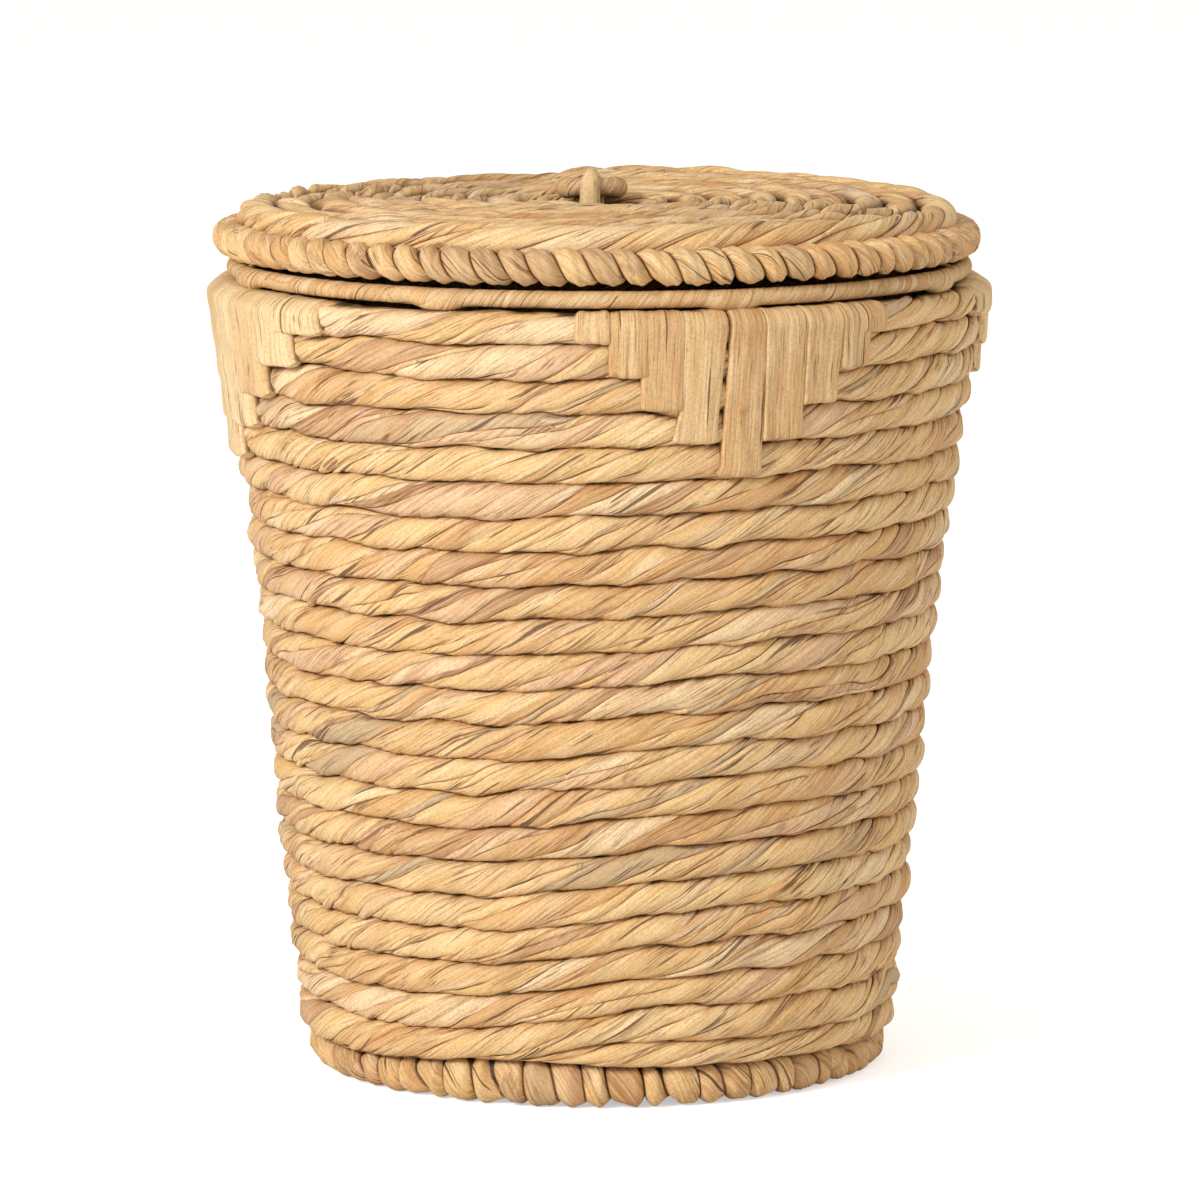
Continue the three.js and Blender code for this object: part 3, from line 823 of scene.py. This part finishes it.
def coil_path(outer_radius, eye_radius, low_z, high_z, width, sunk):
    """Level turns that each step in by one pitch at the back, with a tapered outer end. sunk is how
    far the rope is pressed down where it sags most."""
    pitch = width + COIL_TURN_GAP

    def steps_in(turns):
        whole = np.floor(turns)
        return whole + smooth((turns - whole - (1 - COIL_STEP_SHARE)) / COIL_STEP_SHARE)

    turns = np.linspace(-COIL_STEP_SHARE, (outer_radius - eye_radius) / pitch, COIL_SAMPLES)
    edge = outer_radius - pitch * steps_in(turns)
    outer, inner = np.minimum(outer_radius, edge), edge - width
    kept = (inner > eye_radius) & (outer - inner > THINNEST_END)
    turns, outer, inner = turns[kept], outer[kept], inner[kept]
    radius = (outer + inner) / 2
    steps = np.diff(turns) * TURN * (radius[1:] + radius[:-1]) / 2
    walked = np.concatenate([[0], np.cumsum(steps)])

    # The same rope at even distances along it
    distance = np.linspace(0, walked[-1], round(walked[-1] / STATION))
    turns, outer, inner = (np.interp(distance, walked, item) for item in (turns, outer, inner))
    radius = (outer + inner) / 2
    angle = COIL_START + TURN * turns
    out = np.stack([np.cos(angle), np.sin(angle), np.zeros_like(angle)], axis=1)
    up = np.tile([0.0, 0.0, 1.0], (len(angle), 1))
    full = (outer - inner) / width
    left = np.minimum(distance, distance[-1] - distance) / COIL_END
    end = np.sqrt(np.clip(1 - (1 - np.clip(left, 0, 1)) ** 2, 0.02, 1))
    half_out = ((outer - inner) / 2 - SKIN) * end
    low = sunk * coil_sag(radius, out)
    half_up = ((high_z - low_z - low) / 2 * np.sqrt(full) - SKIN) * end
    centre = out * radius[:, None] + up * ((low_z + high_z - low) / 2)[:, None]
    return Path(centre, out, up, half_out, half_up, distance, distance[-1], False)


def build_coil(node_name, body, seed, eye_radius, width, sunk):
    rng = np.random.default_rng(seed)
    outside, low, high = ring_size(node_name)
    path = coil_path(outside, eye_radius, low, high, width, sunk)
    inner_turn = np.hypot(path.centre[:, 0], path.centre[:, 1]) < outside - width

    def turn_shade(x, z):
        """Painted shade between turns, but not on the outside of the outermost one."""
        dark = np.clip((np.abs(x) - 0.46) / 0.46, 0, 1) ** 1.5
        return np.where((x < 0) | inner_turn[:, None], dark, 0)

    skin = Skin()
    twisted(skin, rng, path, COIL_TWIST, turn_shade)
    skin.piece(f"{node_name}_rope", ROPE_LEAF, body, [node_name])


# Tight twists: the lid's edge and the foot

LID_FRONT_RISE = 2.2 * MM
FOOT_LOBE_ROOM = 0.45 * MM  # half of what the foot's lobes bulge towards the floor


def lid_edge_shape(turn):
    """How far the lid's edge is raised, and what is added to half its height. It stands up at the
    front, and is thinner at its sides."""
    front = np.cos(TURN * turn + math.pi + CAMERA_TURN)
    return LID_FRONT_RISE * (0.5 + 0.5 * front), -0.4 * LID_FRONT_RISE * (1 - front**2)


def foot_shape(turn):
    """The same for the foot, which reaches up to the wall."""
    rise = foot_rise(angle_at(turn)) / 2
    return rise + FOOT_LOBE_ROOM, rise - FOOT_LOBE_ROOM


def build_twist(node_name, body, seed, width, lay, depth, power, shear, sway, core_rise, shape):
    """A rope of strands that each show as a lobe, whose sides fall by depth millimetres. For a turn,
    shape gives how far the rope is raised and what is added to half its height."""
    rng = np.random.default_rng(seed)
    outside, low, high = ring_size(node_name)
    uneven = rng.integers(1 << 30)

    def swell(turn):
        return wobble(np.random.default_rng(uneven), turn, (14, 60), 0.25 * MM)

    path = circle_path(
        outside - width / 2,
        lambda turn: (low + high) / 2 + shape(turn)[0],
        lambda turn: width / 2 + 0.1 * MM + swell(turn),
        lambda turn: (high - low) / 2 - 0.1 * MM + shape(turn)[1],
        TWIST_STATION,
    )
    twist = Twist(
        -lay,
        1,
        lobe(depth),
        TWIST_TONES,
        power=power,
        leaf_length=24 * MM,
        crease=0.4,
        crown=0.3,
        slant=(0.25, 0.6),
        sway=sway,
        sway_lengths=(70 * MM, 22 * MM),
        shear=shear,
    )
    skin = Skin()
    twisted(skin, rng, path, twist)

    # The dark inside of the twist, which closes the creases: a core in full painted shade, which shows as
    # the shade in them. Every eighth station is enough for it.
    around = np.linspace(0, TURN, 17)
    few = slice(None, None, 8)
    core_out = (width / 2 - 1.1 * depth * MM) * np.cos(around)
    core_up = (path.half_up[few, None] - depth * MM) * np.sin(around) + core_rise
    core = path.centre[few, None, :] + path.out[few, None, :] * core_out[None, :, None]
    core = core + path.up[few, None, :] * core_up[..., None]
    skin.add(core, np.zeros(core.shape), np.ones(core.shape[:2]), closed=True)
    skin.piece(f"{node_name}_twist", TWIST_LEAF, body, [node_name])


# Rim binding

TIE_ANGLES = [math.radians(-90 + 45 * k) for k in range(8)]  # each stands over an upright
TIE_SIZE = 1.5 * MM
TIE_REACH = 13 * MM
WRAP = SHINGLE * [1, 0.5, 0.7]  # across a strip, which lies flatter than a rope's leaf


def build_rim():
    rng = np.random.default_rng(RIM_SEED)
    _, low, high = ring_size("rim_binding")
    half = (high - low) / 2

    def tie(turn):
        """How much the nearest tie adds to the rim."""
        away = [np.abs(turned_from(angle_at(turn), at)) * RIM_RADIUS for at in TIE_ANGLES]
        return TIE_SIZE * np.exp(-((np.min(away, axis=0) / TIE_REACH) ** 4))

    path = circle_path(
        lambda turn: RIM_RADIUS + tie(turn) * 0.8,
        lambda turn: (low + high) / 2 - tie(turn),
        lambda turn: half - 0.2 * MM + tie(turn),
        lambda turn: half - 0.2 * MM + tie(turn),
        WRAP_STATION,
    )
    wraps = Twist(
        21 * MM,
        2,
        WRAP,
        STRIP_TONES,
        leaf_length=70 * MM,
        evenness=0.45,
        crease=0.05,
        crown=0.1,
        slant=(-0.05, 0.05),
        sway=0.4,
        firmness=0.28,
    )
    skin = Skin()
    twisted(skin, rng, path, wraps)
    skin.piece("rim_binding_wraps", STRIP_LEAF, "basket", ["rim_binding"])


# Lashings


def rounded(points, times=3):
    """The same open line with its corners cut as many times."""
    points = np.array(points, float)
    for _ in range(times):
        near = points[:-1] * 0.75 + points[1:] * 0.25
        far = points[:-1] * 0.25 + points[1:] * 0.75
        inner = np.empty((len(near) * 2, points.shape[1]))
        inner[0::2], inner[1::2] = near, far
        points = np.concatenate([points[:1], inner, points[-1:]])
    return points


def distance_along(line):
    """How far along a line each of its points is."""
    return np.concatenate([[0], np.cumsum(np.hypot(*np.diff(line, axis=0).T))])


def normals(heading):
    """Unit vectors to the right of a line's headings, in its plane."""
    heading = heading / np.linalg.norm(heading, axis=1)[:, None]
    return np.stack([heading[:, 1], -heading[:, 0]], axis=1)


def strip_line(rows, angle, face, hem_drop):
    """A strip's way in the upright plane, [radius, z]: out of its groove, up, over and down inside.
    face is how far it stands out from its rows, and hem_drop how far its hem hangs below its groove."""
    seams = [seam_height(k, angle) for k in range(ROW_COUNT + 1)]
    crests = [(below + above) / 2 for below, above in zip(seams, seams[1:])]
    radii = [wall_radius(z) for z in crests]
    top = seams[-1]
    first = ROW_COUNT - rows
    groove = seams[first] - hem_drop
    outside = [
        (radii[first] - 6 * MM, groove + 1.2 * MM),
        (radii[first] + face - 3 * MM, groove + 1.4 * MM),
        (radii[first] + face - 0.4 * MM, groove + 3.0 * MM),
        (radii[first] + face, crests[first]),
    ]
    for k in range(first + 1, ROW_COUNT):
        between_rows = (radii[k - 1] + radii[k]) / 2 + face - 0.7 * MM
        outside += [(between_rows, seams[k]), (radii[k] + face, crests[k])]
    shoulder = radii[-1] - ROW_DEPTH / 2
    over = [
        (radii[-1] + face - 0.8 * MM, crests[-1] + 4.5 * MM),
        (shoulder + 8 * MM, top + 0.6 * MM),
        (shoulder + 5 * MM, top + 1.3 * MM),
        (shoulder - 5.5 * MM, top + 1.3 * MM),
    ]
    inside = [(radii[k] - ROW_DEPTH - 1.3 * MM, crests[k]) for k in range(ROW_COUNT - 1, first - 1, -1)]
    tuck = [(radii[first] - ROW_DEPTH + 4 * MM, groove)]
    return rounded(outside + over + inside + tuck)


# Strips of the front lashing: how far each is aside at its top and at its hem, and how wide it is
# there, in pitches

FRONT_STRIPS = {
    -4: (-0.02, -0.02, 1.0, 1.0),
    -3: (-0.03, -0.03, 1.12, 1.12),
    -2: (-0.10, -0.10, 1.24, 1.22),
    -1: (0.06, -0.04, 1.38, 1.16),
    0: (0.29, 0.27, 1.04, 1.26),
    1: (0.34, 0.50, 1.40, 1.34),
    2: (0.62, 0.66, 1.30, 1.22),
    3: (0.74, 0.77, 1.12, 1.04),
    4: (0.40, 0.40, 0.98, 0.93),
}
FRONT_FLARES = {-1: (0.2, 17 * MM), 0: (0.17, 7 * MM)}  # in pitches, and how high above the hem
SIDE_SHIFT = 0.03  # how unevenly the strips of the other lashings are set, in pitches
SIDE_WIDTHS = (1.35, 1.5)  # the range of their widths, in pitches
SIDE_FLARE = 0.2
SIDE_FLARE_REACH = 15 * MM
STRIP_RIPPLE = 0.012  # of a strip's width, in pitches
STRIP_FOLDS = ((1.2, 0.3), (3, 0.12), (6, 0.05))  # waves across a strip, and their size in millimetres
HEM_START = 3 * MM  # a strip's hem is as far along it as this and its face's depth together


@dataclass
class Strips:
    """How the strips of a lashing are."""

    face: float  # how far they stand out from their rows
    corner: float  # how far the corners of their hems are rounded
    soft_edge: float  # share of the half width over which they fall off to their edges
    hem_drop: float  # how far their hems hang below their grooves
    leaf: bpy.types.Material


FLAT_STRIPS = Strips(3.4 * MM, 2 * MM, 0.18, 0.0, STRIP_LEAF)
PUFFY_STRIPS = Strips(5.3 * MM, 4.6 * MM, 0.34, 2.6 * MM, PALE_STRIP_LEAF)


def strip_half(offset, pitch, width, past_hem, place, corner, front):
    """Half the width of a strip, in radians, at the distances past_hem along it and places across."""
    # The lower corners are rounded, but not where the next strip goes on further down
    cut = corner * (1 - np.sqrt(1 - (1 - np.clip(past_hem / corner, 0, 1)) ** 2))
    exposed = np.abs(np.sign(offset) + np.sign(place)) > 0.5
    half = pitch * width / 2 - cut / RIM_RADIUS * exposed
    if not front:
        near_hem = np.clip(1 - past_hem / SIDE_FLARE_REACH, 0, 1)
        half = half + pitch * SIDE_FLARE * near_hem**2 * exposed
    elif offset in FRONT_FLARES:
        flare, reach = FRONT_FLARES[offset]
        near_hem = np.clip(1 - past_hem / reach, 0, 1)
        half = half + pitch * flare * near_hem * (place < 0)
    return half


def strip_relief(rng, offset, place, strips):
    """How far a strip stands off its line at places across it. The middle strip lies over both its
    neighbours, and each other one over the one next to it on the middle's side."""
    edge = np.clip((np.abs(place) - 1 + strips.soft_edge) / strips.soft_edge, 0, 1)
    fall = (strips.face / MM + 1.2) * (1 - np.sqrt(1 - edge**2))
    over_next = 0.5 + 0 * place if offset == 0 else -np.sign(offset) * place * 0.25
    folds = sum(
        size * np.sin(TURN * (rng.uniform(waves - 0.5, waves + 0.5) * place / 2 + rng.random()))
        for waves, size in STRIP_FOLDS
    )
    return (0.4 + over_next + folds * (1 - edge) - fall) * MM


def build_lashing(side, seed):
    """All strips of a lashing. The front's are given one by one, and the others' set a little at random.
    """
    rng = np.random.default_rng(seed)
    middle, pitch = (math.radians(value) for value in LASHINGS[side])
    front = side == "front"
    strips = FLAT_STRIPS if front else PUFFY_STRIPS
    place = np.sin(np.linspace(-math.pi / 2, math.pi / 2, 35))
    # Painted shade along the edges of each strip
    edge_shade = np.clip(np.abs(place) * 30 - 29.2, 0, 0.8)
    skin = Skin()
    for offset in range(1 - LASHING_STEPS, LASHING_STEPS):
        rows = LASHING_STEPS - abs(offset)
        line = strip_line(rows, middle + pitch * offset, strips.face, strips.hem_drop)
        normal = normals(np.gradient(line, axis=0))
        along = distance_along(line)[:, None]
        shift, breadth = rng.normal(0, SIDE_SHIFT), rng.uniform(*SIDE_WIDTHS)
        strip = FRONT_STRIPS[offset] if front else (shift, shift, breadth, breadth)
        top_shift, hem_shift, top_width, hem_width = strip
        low = np.clip(1.2 - along / (ROW_DEPTH * rows), 0, 1)
        shift = top_shift + (hem_shift - top_shift) * low
        width = top_width + (hem_width - top_width) * low
        width = width + STRIP_RIPPLE * np.sin(along / 0.013 + rng.random() * TURN)
        past_hem = along - strips.face - HEM_START
        half = strip_half(offset, pitch, width, past_hem, place, strips.corner, front)
        angle = middle + pitch * (offset + shift) + half * place

        relief = strip_relief(rng, offset, place, strips)
        radius = line[:, :1] + normal[:, :1] * relief
        z = line[:, 1:] + normal[:, 1:] * relief
        points = np.stack([radius * np.cos(angle), radius * np.sin(angle), z], axis=-1)
        across = np.broadcast_to((place + 1) / 2 * pitch * 0.22, angle.shape)
        alongs = np.broadcast_to(along, angle.shape) + 0.5 * offset
        leaf_map = np.stack([alongs, across, np.full(angle.shape, rng.random())], axis=-1)
        # Painted shade on the edges, and where the strip goes down into its groove
        shades = np.clip(edge_shade + np.clip(1 - along / (3 * MM), 0, 1), 0, 1)
        skin.add(points[:, ::-1], leaf_map[:, ::-1], shades[:, ::-1])
    skin.piece(f"lashing_{side}_strips", strips.leaf, "basket", [f"lashing_{side}"])


# Pull

PULL_ASIDE = -3 * MM  # where the ring is held on its hinge line
PULL_DROOP = 0.11  # slope of the ring towards its far side
LOOP_TURN = PULL_TURN - math.radians(9)
LOOP_THICKNESS = 5.2 * MM
LOOP_HALF_WIDTH = 6.3 * MM
LOOP_RADIUS = 8.2 * MM  # of the line of its middle, over and under the ring
LOOP_CURL = 1.8 * MM  # how far its edges curl in
LOOP_TONE = 0.4


def pull_frame(turn):
    """Directions on the lid at a turn: across, back and up, and the pull's middle on its hinge line."""
    _, low, high = ring_size("pull_ring")
    across = np.array([math.cos(turn), math.sin(turn), 0])
    back = np.array([-math.sin(turn), math.cos(turn), 0])
    return across, back, np.array([0, 0, 1.0]), np.array([0, 0, (low + high) / 2])


def build_pull_ring():
    rng = np.random.default_rng(PULL_RING_SEED)
    across, back, up, middle = pull_frame(PULL_TURN)

    def half(turn):
        """The ring is fattest at its sides."""
        return PULL_CORD_DIAMETER / 2 + (0.5 + 0.9 * np.sin(TURN * turn) ** 2) * MM

    path = circle_path(PULL_RING_RADIUS, 0.0, half, half, WRAP_STATION)
    turned = np.stack([across, back, up])
    path.centre = path.centre @ turned + back * PULL_RING_RADIUS
    path.centre = path.centre - up * PULL_DROOP * (path.centre @ back)[:, None]
    path.centre = path.centre + middle + across * PULL_ASIDE
    path.out = path.out @ turned
    skin = Skin()
    wraps = Twist(
        18 * MM,
        2,
        WRAP,
        STRIP_TONES,
        leaf_length=45 * MM,
        evenness=0.5,
        crease=0.1,
        crown=0.1,
        firmness=0.5,
    )
    twisted(skin, rng, path, wraps)
    skin.piece("pull_ring_wraps", STRIP_LEAF, "pull_ring", ["pull_ring"])


def build_pull_loop():
    across, back, up, _ = pull_frame(LOOP_TURN)
    aside = pull_frame(PULL_TURN)[0] * PULL_ASIDE
    low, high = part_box("pull_loop")
    top = high.z - LOOP_RADIUS - LOOP_THICKNESS / 2
    bottom = low.z + LOOP_RADIUS + LOOP_THICKNESS / 2
    turn = np.linspace(0, math.pi, 17)
    over = [(LOOP_RADIUS * math.cos(t), top + LOOP_RADIUS * math.sin(t)) for t in turn]
    under = [(-x, bottom - (z - top)) for x, z in over]
    line = np.array(over + under)
    normal = normals(np.roll(line, -1, axis=0) - np.roll(line, 1, axis=0))

    # The leaf narrows on its way up and is rounded off at the top
    around = np.linspace(0, TURN, 25)
    climbed = np.clip((line[:, 1] - bottom) / (top + LOOP_RADIUS - bottom), 0, 1)[:, None]
    narrower = 0.6 - 0.12 * climbed + 0.4 * np.sqrt(1 - np.clip(climbed * 5 - 4, 0, 1) ** 2)
    wide = LOOP_HALF_WIDTH * narrower * np.cos(around)
    deep = LOOP_THICKNESS / 2 * np.sin(around) - LOOP_CURL * np.cos(around) ** 2
    place = line[:, None, :] + normal[:, None, :] * deep[None, :, None]
    points = across * wide[:, :, None] + back * place[..., :1] + up * place[..., 1:] + aside
    across_metres = np.broadcast_to(wide, place.shape[:2]) * 0.4 + 0.047
    alongs = np.broadcast_to(distance_along(line)[:, None], place.shape[:2])
    leaf_map = np.stack([alongs, across_metres, np.full(alongs.shape, LOOP_TONE)], axis=-1)
    skin = Skin()
    skin.add(points, leaf_map, np.zeros(alongs.shape), closed=True)
    skin.piece("pull_loop_leaf", STRIP_LEAF, "lid", ["pull_loop"])


build_wall()
build_coil("lid_coil", "lid", LID_COIL_SEED, LID_EYE_RADIUS, LID_ROPE_WIDTH, sunk=4.2 * MM)
build_coil("base_coil", "basket", BASE_COIL_SEED, BASE_EYE_RADIUS, BASE_ROPE_WIDTH, sunk=0.0)
build_twist(
    "lid_edge_rope",
    "lid",
    EDGE_ROPE_SEED,
    EDGE_ROPE_DIAMETER,
    lay=15.6 * MM,
    depth=3.6,
    power=2.3,
    shear=-0.13,
    sway=0.05,
    core_rise=0.0,
    shape=lid_edge_shape,
)
build_twist(
    "foot_braid",
    "basket",
    FOOT_SEED,
    FOOT_WIDTH,
    lay=15.8 * MM,
    depth=3.7,
    power=2.6,
    shear=0.1,
    sway=0.1,
    core_rise=1.9 * MM,
    shape=foot_shape,
)
build_rim()
for number, side in enumerate(LASHINGS):
    build_lashing(side, LASHING_SEED + number)
build_pull_ring()
build_pull_loop()

# The wires keep the shapes that the frame gives them

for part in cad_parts.values():
    if not part.hide_render:
        part.data.materials.clear()
        part.data.materials.append(WIRE)


# Floor, light and camera

LIGHT_AIM = (0, 0, 0.25)


def build_floor():
    """A floor that the camera sees as white."""
    material, tree = new_material("studio floor")
    camera_ray = node(tree, "ShaderNodeLightPath").outputs["Is Camera Ray"]
    diffuse = node(tree, "ShaderNodeBsdfDiffuse", Color=(0.9, 0.9, 0.9, 1))
    glow = node(tree, "ShaderNodeEmission", Strength=product(tree, camera_ray, 0.5))
    both = node(tree, "ShaderNodeAddShader", _0=diffuse.outputs[0], _1=glow.outputs[0])
    node(tree, "ShaderNodeOutputMaterial", Surface=both.outputs[0])
    bpy.ops.mesh.primitive_plane_add(size=80)
    floor = bpy.context.object
    floor.name = "studio_floor"
    floor.data.materials.append(material)


def area_light(name, place, size, power):
    """A round lamp that looks at the hamper. Its size is in metres and its power in watts."""
    lamp = bpy.data.lights.new(name, "AREA")
    lamp.shape = "DISK"
    lamp.size = size
    lamp.energy = power
    made = bpy.data.objects.new(name, lamp)
    bpy.context.collection.objects.link(made)
    made.location = place
    made.rotation_euler = (Vector(LIGHT_AIM) - made.location).to_track_quat("-Z", "Y").to_euler()


def build_light():
    world = bpy.data.worlds.new("studio")
    world.use_nodes = True
    background = world.node_tree.nodes["Background"]
    background.inputs["Color"].default_value = (1, 0.96, 0.89, 1)
    background.inputs["Strength"].default_value = 0.6
    bpy.context.scene.world = world
    area_light("key", (-3.3, -1.8, 2.05), 1.2, 127)
    area_light("fill", (3.0, -2.0, 1.4), 1.6, 20)
    area_light("top", (0.6, -0.6, 3.2), 1.6, 6)


def build_camera():
    camera = bpy.data.cameras.new("camera")
    camera.lens = CAMERA_LENS
    camera.sensor_width = CAMERA_SENSOR
    made = bpy.data.objects.new("camera", camera)
    bpy.context.collection.objects.link(made)
    made.location = (
        -CAMERA_DISTANCE * math.sin(CAMERA_TURN),
        -CAMERA_DISTANCE * math.cos(CAMERA_TURN),
        CAMERA_HEIGHT,
    )
    aside = Vector(CAMERA_RIGHT) * CAMERA_AIM_RIGHT
    made.location += aside
    aim = Vector((0, 0, CAMERA_AIM_HEIGHT)) + aside
    made.rotation_euler = (aim - made.location).to_track_quat("-Z", "Y").to_euler()
    bpy.context.scene.camera = made


build_floor()
build_light()
build_camera()
bpy.context.scene.view_settings.view_transform = "Standard"
